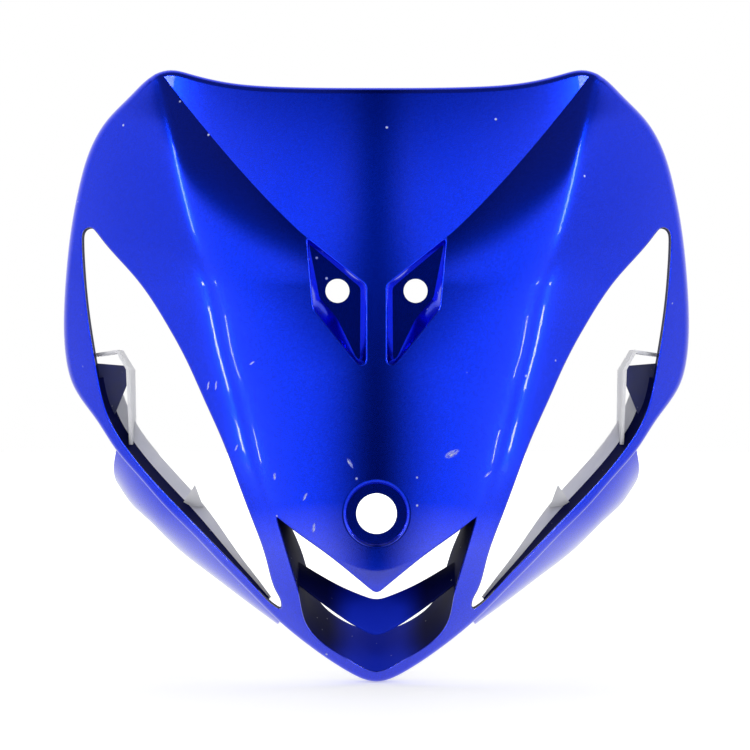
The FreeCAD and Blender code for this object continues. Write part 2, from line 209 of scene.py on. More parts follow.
def rail(z, column):
    """Smooth value of one column of the ridge table at height z."""
    last = len(RIDGE) - 1
    z = max(RIDGE[0][0], min(RIDGE[last][0], z))
    i = 0
    while i < last - 1 and z > RIDGE[i + 1][0]:
        i += 1

    def slope(j):
        a = RIDGE[max(j - 1, 0)]
        b = RIDGE[min(j + 1, last)]
        return (b[column] - a[column]) / (b[0] - a[0])

    step = RIDGE[i + 1][0] - RIDGE[i][0]
    t = (z - RIDGE[i][0]) / step
    return cubic(t, step, RIDGE[i][column], slope(i), RIDGE[i + 1][column], slope(i + 1))


def centre_y(z):
    return NOSE_Y + (z - NOSE_Z) ** 2 / (2.0 * NOSE_RADIUS)


def wing_y(x, z):
    """Depth of a wing, its ridge and its outer face."""
    a = abs(x)
    ridge = rail(z, 1)
    fall = rail(z, 2)
    t = max(0.0, min(1.0, (z - FLAT_WING_Z) / FLAT_WING_RISE))
    power = 2.0 + 3.0 * t * t * (3.0 - 2.0 * t)
    slope = power * fall / ridge
    out = a - ridge
    y = centre_y(z)
    y += VALLEY_FALL * max(0.0, z - VALLEY_Z) ** 1.5
    y += CHIN_FALL * max(0.0, CHIN_Z - z) ** 2
    y += fall * (a / ridge) ** power if out < 0.0 else fall + slope * out
    y += (FLANK_SLOPE - slope) * (out + math.hypot(out, RIDGE_WIDTH)) / 2.0
    return y + FLANK_CURVE * max(0.0, out) ** 2


def shield_y(x, z):
    """Depth of the screen shield."""
    crown = x * x / (2.0 * SHIELD_RADIUS)
    return centre_y(z) + crown + SHIELD_FLOOR * max(0.0, VALLEY_Z - z) ** 2 - SHIELD_PROUD


def valley_x(z):
    """Distance of the valley between shield and wing from the centre line."""
    return math.sqrt(2.0 * SHIELD_RADIUS * VALLEY_FALL * max(0.0, z - VALLEY_Z) ** 1.5)


def on_shield(x, z):
    return z > VALLEY_Z and abs(x) < valley_x(z)


def front_y(x, z):
    """Depth of the painted skin."""
    wing = wing_y(x, z)
    if z > VALLEY_Z - SHIELD_FOOT and abs(x) < valley_x(z) + SHIELD_LAP:
        return min(wing, shield_y(x, z))
    return wing


def slopes(depth, x, z):
    h = SLOPE_STEP
    across = (depth(x + h, z) - depth(x - h, z)) / (2.0 * h)
    return across, (depth(x, z + h) - depth(x, z - h)) / (2.0 * h)


def outward(depth, x, z):
    """Unit normal of a skin, away from the bike."""
    across, up = slopes(depth, x, z)
    return Vector((across, -1.0, up)).normalized()


# Curves and loops of the front view

# Points on each span of a smooth curve
CURVE_POINTS = 24
# Height of an even triangle with sides of 1
TRIANGLE_RISE = 0.866
# Share of its step that a grid keeps clear of the edges
GRID_CLEAR = 0.6
# Cosine under which a corner is no longer mitred in full
MITRE_LEAST = 0.6


def smooth_curve(points, closed):
    """Dense points of a cubic curve through the given points."""
    p = np.array(points, float)
    n = len(p)
    ends = np.roll(p, -1, axis=0) if closed else p[1:]
    spans = n if closed else n - 1
    h = np.linalg.norm(ends - p[:spans], axis=1)
    d = (ends - p[:spans]) / h[:, None]
    a = np.zeros((n, n))
    b = np.zeros(p.shape)
    for i in range(n):
        if closed or 0 < i < n - 1:
            a[i, (i - 1) % n] += h[i]
            a[i, i] += 2.0 * (h[i - 1] + h[i])
            a[i, (i + 1) % n] += h[i - 1]
            b[i] = 3.0 * (h[i] * d[i - 1] + h[i - 1] * d[i])
        else:
            j = 1 if i == 0 else n - 2
            a[i, i] = 2.0
            a[i, j] = 1.0
            b[i] = 3.0 * (d[0] if i == 0 else d[-1])
    m = np.linalg.solve(a, b)
    t = np.linspace(0.0, 1.0, CURVE_POINTS, endpoint=False)[:, None]
    parts = []
    for i in range(spans):
        j = (i + 1) % n
        parts.append(cubic(t, h[i], p[i], m[i], p[j], m[j]))
    return np.vstack(parts + [p[:1] if closed else p[-1:]])


def evenly(line, count):
    """That many points, evenly spaced along a line of points, both ends included."""
    reach = np.concatenate([[0.0], np.cumsum(np.linalg.norm(np.diff(line, axis=0), axis=1))])
    at = np.linspace(0.0, reach[-1], count)
    return np.stack([np.interp(at, reach, line[:, k]) for k in range(line.shape[1])], axis=1)


def line_length(line):
    return float(np.linalg.norm(np.diff(line, axis=0), axis=1).sum())


def closed_loop(points, step):
    line = smooth_curve(points, True)
    return evenly(line, int(line_length(line) / step) + 1)[:-1]


def mirrored(half):
    return half + [(-p[0],) + tuple(p[1:]) for p in reversed(half[1:-1])]


def side_vectors(loop):
    """Vectors that move each point of a closed loop one unit out of it, corners mitred."""
    after = np.roll(loop, -1, axis=0) - loop
    after /= np.linalg.norm(after, axis=1)[:, None]
    before = np.roll(after, 1, axis=0)
    x, z = loop[:, 0], loop[:, 1]
    turn = 1.0 if np.sum(x * np.roll(z, -1) - np.roll(x, -1) * z) > 0 else -1.0
    n = np.stack([after[:, 1] + before[:, 1], -after[:, 0] - before[:, 0]], axis=1)
    n /= np.maximum(1e-9, np.linalg.norm(n, axis=1))[:, None]
    lean = n[:, 0] * after[:, 1] - n[:, 1] * after[:, 0]
    return n * turn / np.clip(lean, MITRE_LEAST, 1.0)[:, None]


def grown(loop, distance):
    """Closed loop moved outwards by a distance, or by one distance for each point."""
    return loop + side_vectors(loop) * np.reshape(distance, (-1, 1))


def same(loop):
    return loop


def flipped(loop):
    """The loop on the other side of the centre line."""
    return (loop * np.array([-1.0, 1.0]))[::-1]


def inside(points, loop):
    """Which of the points lie inside a closed loop."""
    x, z = points[:, 0], points[:, 1]
    result = np.zeros(len(points), bool)
    x0, z0 = loop[-1]
    for x1, z1 in loop:
        if z0 != z1:
            crosses = (z0 > z) != (z1 > z)
            result ^= crosses & (x < (x1 - x0) * (z - z0) / (z1 - z0) + x0)
        x0, z0 = x1, z1
    return result


def between(points, outer, holes):
    """Which of the points lie inside the outer loop and in none of the holes."""
    result = inside(points, outer)
    for hole in holes:
        result &= ~inside(points, hole)
    return result


def grid_points(outer, holes, step, fixed):
    """Points of a grid of even triangles between loops, clear of the fixed points."""
    low, high = outer.min(axis=0), outer.max(axis=0)
    rows = int((high[1] - low[1]) / (step * TRIANGLE_RISE))
    columns = int((high[0] - low[0]) / (2.0 * step))
    grid = []
    for i in range(rows + 1):
        shift = 0.5 * step if i % 2 else 0.0
        z = low[1] + i * step * TRIANGLE_RISE
        for j in range(-columns - 1, columns + 2):
            grid.append(((low[0] + high[0]) / 2.0 + j * step + shift, z))
    grid = np.array(grid)
    grid = grid[between(grid, outer, holes)]
    near = np.array([np.min(np.sum((fixed - g) ** 2, axis=1)) for g in grid])
    return grid[near > (GRID_CLEAR * step) ** 2]


def mouth_loops(step):
    """Edge of the mouth on the skin and at the back of its tunnel, point for point."""
    halves = [MOUTH_LIP, [MOUTH_LIP[0]] + MOUTH_BOWL]
    lip, bowl = [half + [(-x, z, -xr, zr) for x, z, xr, zr in reversed(half[:-1])] for half in halves]
    fronts, rears = [], []
    for part in (lip, bowl[::-1]):
        front = smooth_curve([p[:2] for p in part], False)
        count = 2 * int(line_length(front) / step / 2.0) + 1
        fronts.append(evenly(front, count)[:-1])
        rears.append(evenly(smooth_curve([p[2:] for p in part], False), count)[:-1])
    return np.vstack(fronts), np.vstack(rears)


def pocket_loops(step):
    """Edge of the right pocket on the skin and on its floor, point for point."""
    fronts, floors = [], []
    for i, a in enumerate(POCKET):
        b = POCKET[(i + 1) % len(POCKET)]
        count = max(2, int(math.dist(a[:2], b[:2]) / step))
        t = np.linspace(0.0, 1.0, count, endpoint=False)[:, None]
        fronts.append(np.array(a[:2]) * (1.0 - t) + np.array(b[:2]) * t)
        floors.append(np.array(a[2:]) * (1.0 - t) + np.array(b[2:]) * t)
    return rounded(np.vstack(fronts)), rounded(np.vstack(floors))


def rounded(loop):
    """Closed loop with its corners eased."""
    return loop * 0.5 + (np.roll(loop, 1, axis=0) + np.roll(loop, -1, axis=0)) * 0.25


def circle(radius, count, x=0.0, z=0.0):
    a = np.arange(count) * 2.0 * math.pi / count
    return np.stack([x + radius * np.sin(a), z + radius * np.cos(a)], axis=1)


# Mesh making

# Finish of a face, as the place of its material in the list
# The pale finish is a painted reflection: its near-white colour stands in for the white that the seats and
# brackets reflect
# The thin paint finish carries painted shade: its colour turns dark navy away from the middle of the mouth
PAINT, BARE, THIN_AND_SHADE, PALE_REFLECTION = 0, 1, 2, 3
# Height in millimetres under which a triangle is left out, and gap in metres that is welded
SLIVER = 0.002
WELD = 2e-6
# Pull of the corner on a rounded edge, and steps across the rounded edges
CORNER_PULL = 1.5
EDGE_ROWS = 5
LIP_ROWS = 4
BADGE_ROWS = 6
# Angles past which an edge is sharp: on most pieces, and on the flanks and the blade
SHARP = math.radians(30.0)
SHARP_SWEPT = math.radians(40.0)


def lifted(loop, depth):
    """Points of a loop at the depth of a surface."""
    return np.array([(x, depth(x, z), z) for x, z in loop])


def at_y(loop, y):
    return np.stack([loop[:, 0], np.full(len(loop), y), loop[:, 1]], axis=1)


class Moulding:
    """A mesh in the making, in millimetres."""

    def __init__(self):
        self.points = []
        self.faces = []
        self.finishes = []
        self.skin_faces = set()

    def row(self, points):
        start = len(self.points)
        self.points.extend(tuple(float(c) for c in p) for p in points)
        return list(range(start, start + len(points)))

    def face(self, corners, finish):
        self.faces.append(corners)
        self.finishes.append(finish)

    def band(self, a, b, finish, closed=True):
        """Quads between two rows of equal length."""
        count = len(a)
        for i in range(count if closed else count - 1):
            j = (i + 1) % count
            self.face((a[i], a[j], b[j], b[i]), finish)

    def bands(self, rows, finish):
        for a, b in zip(rows, rows[1:]):
            self.band(a, b, finish)

    def strips(self, rows, finishes):
        """Closed bands whose quads take their finishes in turn."""
        for a, b in zip(rows, rows[1:]):
            for i, finish in enumerate(finishes):
                j = (i + 1) % len(finishes)
                self.face((a[i], a[j], b[j], b[i]), finish)

    def sheet(self, outer, holes, step, depth, finish, creases=(), skin=False):
        """Fills the front view between loops with triangles and lifts them to a depth."""
        points, edges = [], []
        for loop in [outer] + holes:
            start = len(points)
            points.extend(map(tuple, loop))
            edges += [(start + i, start + (i + 1) % len(loop)) for i in range(len(loop))]
        for line in creases:
            start = len(points)
            points.extend(map(tuple, line))
            edges += [(start + i, start + i + 1) for i in range(len(line) - 1)]
        if step:
            points.extend(map(tuple, grid_points(outer, holes, step, np.array(points))))
        made = delaunay_2d_cdt([Vector(p) for p in points], edges, [], 0, 1e-5)
        flat = np.array([tuple(v) for v in made[0]])
        tris = np.array(made[2])
        a, b, c = flat[tris[:, 0]], flat[tris[:, 1]], flat[tris[:, 2]]
        middles = (a + b + c) / 3.0
        area = np.abs((b - a)[:, 0] * (c - a)[:, 1] - (b - a)[:, 1] * (c - a)[:, 0])
        longest = np.max([np.linalg.norm(e, axis=1) for e in (b - a, c - b, a - c)], axis=0)
        keep = between(middles, outer, holes) & (area > SLIVER * longest)
        index = self.row([(x, depth(x, z), z) for x, z in flat])
        for tri, use in zip(tris, keep):
            if use:
                if skin:
                    self.skin_faces.add(len(self.faces))
                self.face(tuple(index[k] for k in tri), finish)

    def roll(self, start, corner, wall, steps):
        """Rows of a rounded edge from start past a corner to the wall."""
        rows = []
        for k in range(steps + 1):
            t = k / steps
            a, b, c = (1.0 - t) ** 2, CORNER_PULL * t * (1.0 - t), t * t
            rows.append(self.row((start * a + corner * b + wall * c) / (a + b + c)))
        return rows

    def turned_back(self, edge, corner, inner, bend, depth, back_y, finish):
        """Rolled edge with a return that runs back along Y."""
        start = lifted(edge, front_y)
        turn = lifted(corner, front_y)
        drop = np.zeros(turn.shape)
        drop[:, 1] = bend
        rows = self.roll(start, turn, turn + drop, EDGE_ROWS)
        self.bands(rows, PAINT)
        end = self.row(turn + np.array([0.0, depth, 0.0]))
        self.band(rows[-1], end, finish)
        rear = self.row(lifted(inner, front_y) + np.array([0.0, depth, 0.0]))
        self.bands([end, rear, self.row(lifted(inner, back_y))], BARE)

    def walled(self, edge, corner, rear, bend, finish):
        """Rolled edge whose wall runs to a rear loop, and the row of that loop."""
        start = lifted(edge, front_y)
        turn = lifted(corner, front_y)
        way = rear - turn
        way /= np.linalg.norm(way, axis=1)[:, None]
        rows = self.roll(start, turn, turn + way * bend, LIP_ROWS)
        self.bands(rows, PAINT)
        end = self.row(rear)
        self.band(rows[-1], end, finish)
        return end

    def rings(self, rings, finish):
        """Closed body through a list of rings, with one finish or one for each side of a ring."""
        rows = [self.row(r) for r in rings]
        finishes = finish if isinstance(finish, list) else [finish] * len(rows[0])
        self.strips(rows, finishes)
        self.face(tuple(rows[0]), finishes[0])
        self.face(tuple(rows[-1]), finishes[0])

    def build(self, name, materials, sharp_angle):
        """Blender object with this shape, its normals and its sharp edges."""
        bm = bmesh.new()
        mark = bm.faces.layers.int.new("skin")
        verts = [bm.verts.new((x * MM, y * MM, z * MM)) for x, y, z in self.points]
        for i, corners in enumerate(self.faces):
            face = bm.faces.new([verts[k] for k in corners])
            face.material_index = self.finishes[i]
            face.smooth = True
            face[mark] = 1 if i in self.skin_faces else 0
        bmesh.ops.remove_doubles(bm, verts=bm.verts, dist=WELD)
        loose = [v for v in bm.verts if not v.link_faces]
        bmesh.ops.delete(bm, geom=loose, context="VERTS")
        bmesh.ops.recalc_face_normals(bm, faces=bm.faces)
        if bm.calc_volume(signed=True) < 0.0:
            bmesh.ops.reverse_faces(bm, faces=bm.faces)
        for edge in bm.edges:
            sides = edge.link_faces
            if len(sides) != 2:
                raise RuntimeError("%s is open at %s" % (name, edge.verts[0].co * 1000.0))
            angle = sides[0].normal.angle(sides[1].normal, 0.0)
            edge.smooth = angle < sharp_angle
            if sides[0][mark] and sides[1][mark]:
                middles = [s.calc_center_median() / MM for s in sides]
                edge.smooth = on_shield(middles[0].x, middles[0].z) == on_shield(middles[1].x, middles[1].z)
        mesh = bpy.data.meshes.new(name)
        bm.to_mesh(mesh)
        bm.free()
        self.set_skin_normals(mesh)
        for material in materials:
            mesh.materials.append(material)
        piece = bpy.data.objects.new(name, mesh)
        bpy.context.scene.collection.objects.link(piece)
        return piece

    def set_skin_normals(self, mesh):
        """Gives the painted skin the exact normals of its rule."""
        marks = mesh.attributes["skin"]
        normals = [Vector(n.vector) for n in mesh.corner_normals]
        on_skin = set()
        for face in mesh.polygons:
            if marks.data[face.index].value:
                middle = face.center / MM
                depth = shield_y if on_shield(middle.x, middle.z) else wing_y
                for k in face.loop_indices:
                    v = mesh.vertices[mesh.loops[k].vertex_index].co / MM
                    normals[k] = outward(depth, v.x, v.z)
                    on_skin.add(mesh.loops[k].vertex_index)
        for face in mesh.polygons:
            if not marks.data[face.index].value:
                for k in face.loop_indices:
                    i = mesh.loops[k].vertex_index
                    if i in on_skin:
                        v = mesh.vertices[i].co / MM
                        depth = shield_y if on_shield(v.x, v.z) else wing_y
                        normals[k] = outward(depth, v.x, v.z)
        mesh.attributes.remove(marks)
        if on_skin:
            mesh.normals_split_custom_set(normals)


def crease_line(top_loop, pocket_edge):
    """Valley between the right wing and the shield, from the top edge to the pocket."""
    top = 0
    while top_loop[top][0] < valley_x(top_loop[top][1]):
        top += 1
    before, after = top_loop[top - 1], top_loop[top]
    miss = [valley_x(p[1]) - p[0] for p in (before, after)]
    share = miss[0] / (miss[0] - miss[1])
    cross = before + (after - before) * share
    if share < 0.5:
        top -= 1
    top_loop[top] = cross
    low = POCKET[0][1] + CREASE_FOOT_GAP
    line = [(valley_x(z), z) for z in np.arange(low, cross[1] - CREASE_TOP_GAP, CREASE_STEP)]
    end = pocket_edge[int(np.argmin(np.sum((pocket_edge - line[0]) ** 2, axis=1)))]
    return top, np.array([tuple(end)] + line + [tuple(cross)])


def make_shell(sizes):
    """The thin moulded shell: skin, rolled edges, returns, pockets, badge recess and mouth."""
    wall = sizes.wall / MM
    lip = sizes.edge_wall / MM
    lamp_roll = sizes.lamp_roll / MM
    lip_roll = sizes.lip_roll / MM
    depth = sizes.return_depth / MM
    step = sizes.mesh_step / MM
    shell = Moulding()

    def back_y(x, z):
        across, up = slopes(front_y, x, z)
        return front_y(x, z) + wall * min(STEEPEST_WALL, math.sqrt(1.0 + across * across + up * up))

    outline = closed_loop(mirrored(OUTLINE), OUTLINE_STEP)
    lamp = closed_loop(LAMP, LAMP_STEP)
    mouth, mouth_rear = mouth_loops(MOUTH_STEP)
    pocket, pocket_floor = pocket_loops(POCKET_STEP)
    seat = circle(BADGE_SEAT_R, ROUND)

    lift = np.clip((outline[:, 1] - ROLL_LOW_Z) / ROLL_RISE, 0.0, 1.0)
    roll = sizes.edge_roll / MM * (ROLL_LOW + ROLL_GAIN * lift * lift * (3.0 - 2.0 * lift))
    skin_top = grown(outline, -roll)
    lamp_edge = grown(lamp, lamp_roll)
    mouth_edge = grown(mouth, lip_roll)
    pocket_edge = grown(pocket, lip_roll)
    seat_edge = circle(BADGE_SEAT_R + BADGE_RIM, ROUND)
    top, crease = crease_line(skin_top, pocket_edge)
    other = int(np.argmin(np.sum((skin_top - skin_top[top] * np.array([-1.0, 1.0])) ** 2, axis=1)))
    skin_top[other] = skin_top[top] * np.array([-1.0, 1.0])

    holes = [lamp_edge, flipped(lamp_edge), mouth_edge, pocket_edge, flipped(pocket_edge), seat_edge]
    creases = [crease, crease * np.array([-1.0, 1.0])]
    shell.sheet(skin_top, holes, step, front_y, PAINT, creases, True)

    backs = [grown(lamp, lip), flipped(grown(lamp, lip)), grown(mouth, lip)]
    backs += [grown(pocket, wall), flipped(grown(pocket, wall)), circle(BADGE_SEAT_R + wall, ROUND)]
    shell.sheet(grown(outline, -lip), backs, 2.0 * step, back_y, BARE)

    shell.turned_back(skin_top, outline, grown(outline, -lip), roll, depth, back_y, PAINT)
    # The lamp returns take the thin paint, which painted shade darkens fully this far from the centre
    for side in (same, flipped):
        shell.turned_back(side(lamp_edge), side(lamp), side(grown(lamp, lip)), lamp_roll, depth, back_y, THIN_AND_SHADE)
    add_mouth(shell, mouth_edge, mouth, mouth_rear, lip, lip_roll, back_y)
    add_pockets(shell, pocket_edge, pocket, pocket_floor, wall, lip_roll, back_y)
    add_badge_recess(shell, seat_edge, seat, wall, back_y)
    return shell


def add_mouth(shell, edge, mouth, rear, lip, roll, back_y):
    """Mouth tunnel, from its edge on the skin to its open back."""
    # The tunnel walls take the thin paint, darkened by painted shade toward the sides
    end = shell.walled(edge, mouth, at_y(rear, MOUTH_BACK), roll, THIN_AND_SHADE)
    outer = shell.row(at_y(grown(rear, lip), MOUTH_BACK))
    shell.bands([end, outer, shell.row(lifted(grown(mouth, lip), back_y))], BARE)


def add_pockets(shell, edge, pocket, pocket_floor, wall, roll, back_y):
    """Pockets with their stay holes."""
    hole = circle(STAY_HOLE_R, STAY_HOLE_POINTS, STAY_HOLE_X, STAY_HOLE_Z)
    for side in (same, flipped):
        floor = side(pocket_floor)
        bore = side(hole)
        shell.walled(side(edge), side(pocket), at_y(floor, POCKET_Y), roll, PAINT)
        shell.sheet(floor, [bore], None, lambda x, z: POCKET_Y, PAINT)
        shell.band(shell.row(at_y(bore, POCKET_Y)), shell.row(at_y(bore, POCKET_Y + wall)), PAINT)
        rear = side(grown(pocket_floor, wall))
        shell.sheet(rear, [bore], None, lambda x, z: POCKET_Y + wall, BARE)
        foot = shell.row(at_y(rear, POCKET_Y + wall))
        shell.band(foot, shell.row(lifted(side(grown(pocket, wall)), back_y)), BARE)


def add_badge_recess(shell, edge, seat, wall, back_y):
    """Badge recess with its hole and locating groove."""
    turn = lifted(seat, front_y)
    foot = at_y(seat, 0.0)
    wall_top = turn * BADGE_STRAIGHT + foot * (1.0 - BADGE_STRAIGHT)
    rows = shell.roll(lifted(edge, front_y), turn, wall_top, BADGE_ROWS)
    shell.bands(rows + [shell.row(foot)], PAINT)
    bore = circle(BADGE_HOLE_R, ROUND)
    gap = groove_ends(bore)
    slot = groove_line(bore[gap], bore[-gap])
    arc = np.vstack([bore[gap:-gap], bore[-gap:][:1]])
    shell.sheet(seat, [np.vstack([arc, slot[::-1][1:-1]])], None, lambda x, z: 0.0, PAINT)
    shell.sheet(np.vstack([slot, bore[-gap:], bore[:gap]]), [], None, lambda x, z: GROOVE_DEPTH, PAINT)
    shell.band(shell.row(at_y(slot, 0.0)), shell.row(at_y(slot, GROOVE_DEPTH)), PAINT, False)
    low = shell.row(at_y(bore, wall))
    high = shell.row(at_y(bore, GROOVE_DEPTH))
    shell.band(high, low, PAINT)
    shell.band(shell.row(at_y(arc, 0.0)), shell.row(at_y(arc, GROOVE_DEPTH)), PAINT, False)
    ring = circle(BADGE_SEAT_R + wall, ROUND)
    shell.sheet(ring, [bore], None, lambda x, z: wall, BARE)
    shell.band(shell.row(at_y(ring, wall)), shell.row(lifted(ring, back_y)), BARE)


def groove_ends(bore):
    """How many points of the bore to either side of its top lie inside the groove."""
    return int(math.ceil(GROOVE_WIDTH / 2.0 / (bore[1][0] - bore[0][0])))


def groove_line(right, left):
    """Edge of the groove from the right side of the bore over its round end to the left."""
    half = right[0]
    top = GROOVE_TOP - half
    turn = np.linspace(0.0, math.pi, GROOVE_END_POINTS)
    end = np.stack([half * np.cos(turn), top + half * np.sin(turn)], axis=1)
    return np.vstack([[right], end, [left]])


def line_side(points, i, toward):
    """Unit vector in the front view square to an open line at point i, on the side of toward."""
    x0, z0 = points[max(i - 1, 0)][:2]
    x1, z1 = points[min(i + 1, len(points) - 1)][:2]
    n = Vector((z1 - z0, 0.0, x0 - x1)).normalized()
    x, z = points[i][:2]
    return n if n.dot(Vector((toward[0] - x, 0.0, toward[1] - z))) > 0.0 else -n


def both_sides(body, rings, finish):
    """Adds a body and its mirror image."""
    body.rings(rings, finish)
    body.rings([[(-p[0], p[1], p[2]) for p in ring] for ring in rings], finish)


# Nodes


def fill(tree, node, **values):
    """Links each output, and sets each value, on the input of that name or on the node itself."""
    for key, value in values.items():
        socket = node.inputs.get(key.replace("_", " "))
        if isinstance(value, bpy.types.NodeSocket):
            tree.links.new(value, socket)
        elif socket is not None:
            socket.default_value = value
        else:
            setattr(node, key, value)
    return node


def add(tree, kind, **values):
    return fill(tree, tree.nodes.new(kind), **values)


def feed(tree, sockets, terms):
    """Gives each socket its term, a value or an output."""
    for socket, term in zip(sockets, terms):
        if isinstance(term, bpy.types.NodeSocket):
            tree.links.new(term, socket)
        else:
            socket.default_value = term


def calc(tree, operation, *terms):
    """Result of a Math node."""
    node = add(tree, "ShaderNodeMath", operation=operation)
    feed(tree, node.inputs, terms)
    return node.outputs["Value"]


def vector(tree, operation, *terms):
    """Result of a Vector Math node."""
    node = add(tree, "ShaderNodeVectorMath", operation=operation)
    sockets = [node.inputs[0], node.inputs["Scale"]] if operation == "SCALE" else node.inputs
    feed(tree, sockets, terms)
    return node.outputs["Value" if operation == "LENGTH" else "Vector"]


def ramp(tree, value, low, high, start=0.0, end=1.0, smooth=False):
    """Maps a value between low and high to start and end."""
    node = add(tree, "ShaderNodeMapRange", interpolation_type="SMOOTHSTEP" if smooth else "LINEAR",
               Value=value, From_Min=low, From_Max=high, To_Min=start, To_Max=end)
    return node.outputs["Result"]


def mix(tree, factor, a, b):
    return add(tree, "ShaderNodeMix", Factor=factor, A=a, B=b).outputs["Result"]


def blend(tree, factor, a, b):
    """Mixes two colours, each a value or an output."""
    node = add(tree, "ShaderNodeMix", data_type="RGBA", Factor=factor)
    colours = [c if isinstance(c, bpy.types.NodeSocket) else (*c, 1.0) for c in (a, b)]
    feed(tree, node.inputs[6:8], colours)
    return node.outputs[2]


def axes(tree, place):
    return add(tree, "ShaderNodeSeparateXYZ", Vector=place).outputs


# Blade


def blade_tree():
    """Blade with round edges between a front line and a rear line."""
    tree = bpy.data.node_groups.new("Blade between two lines", "GeometryNodeTree")
    tree.is_modifier = True
    sockets = [("Lines", "NodeSocketGeometry"), ("Thickness", "NodeSocketFloat"),
               ("Segments", "NodeSocketInt"), ("Edge points", "NodeSocketInt"),
               ("Finish", "NodeSocketMaterial")]
    for label, kind in sockets:
        tree.interface.new_socket(name=label, in_out="INPUT", socket_type=kind)
    tree.interface.new_socket(name="Blade", in_out="OUTPUT", socket_type="NodeSocketGeometry")
    come = tree.nodes.new("NodeGroupInput").outputs
    go = tree.nodes.new("NodeGroupOutput").inputs
    rod = add(tree, "GeometryNodeMeshCylinder", Vertices=come["Edge points"], Side_Segments=come["Segments"],
              Radius=1.0, Depth=1.0)
    parts = axes(tree, tree.nodes.new("GeometryNodeInputPosition").outputs["Position"])
    share = calc(tree, "ADD", parts["Z"], 0.5)
    lines = add(tree, "GeometryNodeMeshToCurve", Mesh=come["Lines"]).outputs["Curve"]
    ends = []
    for index in (0, 1):
        sample = add(tree, "GeometryNodeSampleCurve", mode="FACTOR", use_all_curves=False, Curves=lines,
                     Factor=share, Curve_Index=index)
        ends.append(sample.outputs["Position"])
    half = calc(tree, "MULTIPLY", come["Thickness"], 0.5)
    way = vector(tree, "NORMALIZE", vector(tree, "SUBTRACT", ends[1], ends[0]))
    along = vector(tree, "SCALE", way, half)
    slant = math.sqrt(0.5)
    down = vector(tree, "SCALE", (0.0, slant, -slant), half)
    front = vector(tree, "ADD", vector(tree, "ADD", ends[0], down), along)
    rear = vector(tree, "SUBTRACT", vector(tree, "ADD", ends[1], down), along)
    behind = calc(tree, "GREATER_THAN", parts["X"], 0.0)
    sides = {"Switch": behind, "False": front, "True": rear}
    centre = add(tree, "GeometryNodeSwitch", input_type="VECTOR", **sides).outputs["Output"]
    reach = vector(tree, "SCALE", along, parts["X"])
    rise = vector(tree, "SCALE", down, parts["Y"])
    target = vector(tree, "SUBTRACT", vector(tree, "ADD", centre, reach), rise)
    shaped = add(tree, "GeometryNodeSetPosition", Geometry=rod.outputs["Mesh"], Position=target)
    real = add(tree, "GeometryNodeRealizeInstances", Geometry=shaped.outputs["Geometry"])
    finish = add(tree, "GeometryNodeSetMaterial", Geometry=real.outputs["Geometry"], Material=come["Finish"])
    tree.links.new(finish.outputs["Geometry"], go["Blade"])
    return tree


def make_blade(material):
    """Chevron blade across the mouth, swept between its front and rear lines."""
    points, edges = [], []
    for half, y in ((BLADE_FRONT, BLADE_FRONT_Y), (BLADE_REAR, BLADE_REAR_Y)):
        line = smooth_curve(half + [(-x, z) for x, z in reversed(half[:-1])], False)
        start = len(points)
        points += [(x * MM, y * MM, z * MM) for x, z in evenly(line, BLADE_SEGMENTS + 1)]
        edges += [(k, k + 1) for k in range(start, len(points) - 1)]
    mesh = bpy.data.meshes.new("blade lines")
    mesh.from_pydata(points, edges, [])
    blade = bpy.data.objects.new("mouth_blade", mesh)
    bpy.context.scene.collection.objects.link(blade)
    tree = blade_tree()
    modifier = blade.modifiers.new("Blade", "NODES")
    modifier.node_group = tree
    values = {"Thickness": BLADE_THICK * MM, "Segments": BLADE_SEGMENTS, "Edge points": BLADE_EDGE_POINTS,
              "Finish": material}
    for item in tree.interface.items_tree:
        if item.item_type == "SOCKET" and item.in_out == "INPUT" and item.name in values:
            modifier[item.identifier] = values[item.name]
    graph = bpy.context.evaluated_depsgraph_get()
    made = bpy.data.meshes.new_from_object(blade.evaluated_get(graph))
    blade.modifiers.remove(modifier)
    blade.data = made
    bm = bmesh.new()
    bm.from_mesh(made)
    if any(len(edge.link_faces) != 2 for edge in bm.edges) or not bm.faces:
        raise RuntimeError("The blade is not closed")
    bmesh.ops.recalc_face_normals(bm, faces=bm.faces)
    if bm.calc_volume(signed=True) < 0.0:
        bmesh.ops.reverse_faces(bm, faces=bm.faces)
    bm.to_mesh(made)
    bm.free()
    made.shade_smooth()
    made.set_sharp_from_angle(angle=SHARP_SWEPT)
    return blade


def make_flanks(sizes):
    """Lower flanks that run back from the outline."""
    wall = sizes.wall / MM
    flanks = Moulding()
    line = evenly(smooth_curve(FLANK, False), FLANK_RINGS)
    rings = []
    for i, (x, z, xr, zr, yr) in enumerate(line):
        n = line_side(line, i, FLANK_MIDDLE)
        a = Vector((x, wing_y(x, z) + sizes.edge_roll / MM + FLANK_SETBACK, z)) + n * FLANK_INSET
        b = Vector((xr, yr, zr))
        bulge = n * (FLANK_BULGE * (b - a).length / FLANK_SPAN)
        shares = [k / FLANK_STEPS for k in range(FLANK_STEPS + 1)]
        outer = [a.lerp(b, t) - bulge * (4.0 * t * (1.0 - t)) for t in shares]
        rings.append([tuple(p) for p in outer] + [tuple(p + n * wall) for p in reversed(outer)])
    both_sides(flanks, rings, PAINT)
    return flanks


def make_lamp_seats():
    """Flanges behind the lower edges of the headlight openings."""
    seats = Moulding()
    line = evenly(smooth_curve(SEAT + SEAT_TIP, False), SEAT_RINGS)
    rings = []
    for i, (x, z, scale) in enumerate(line):
        n = line_side(line, i, LAMP_MIDDLE)
        edge = Vector((x, wing_y(x, z), z))
        rings.append([tuple(edge + (n * s + Vector((0.0, d, 0.0))) * scale) for s, d in SEAT_PROFILE])
    # The face along the opening takes the thin paint, darkened here by painted shade
    # The next three faces take the pale colour, a painted reflection
    both_sides(seats, rings, [THIN_AND_SHADE, PALE_REFLECTION, PALE_REFLECTION, PALE_REFLECTION, BARE, BARE])
    return seats


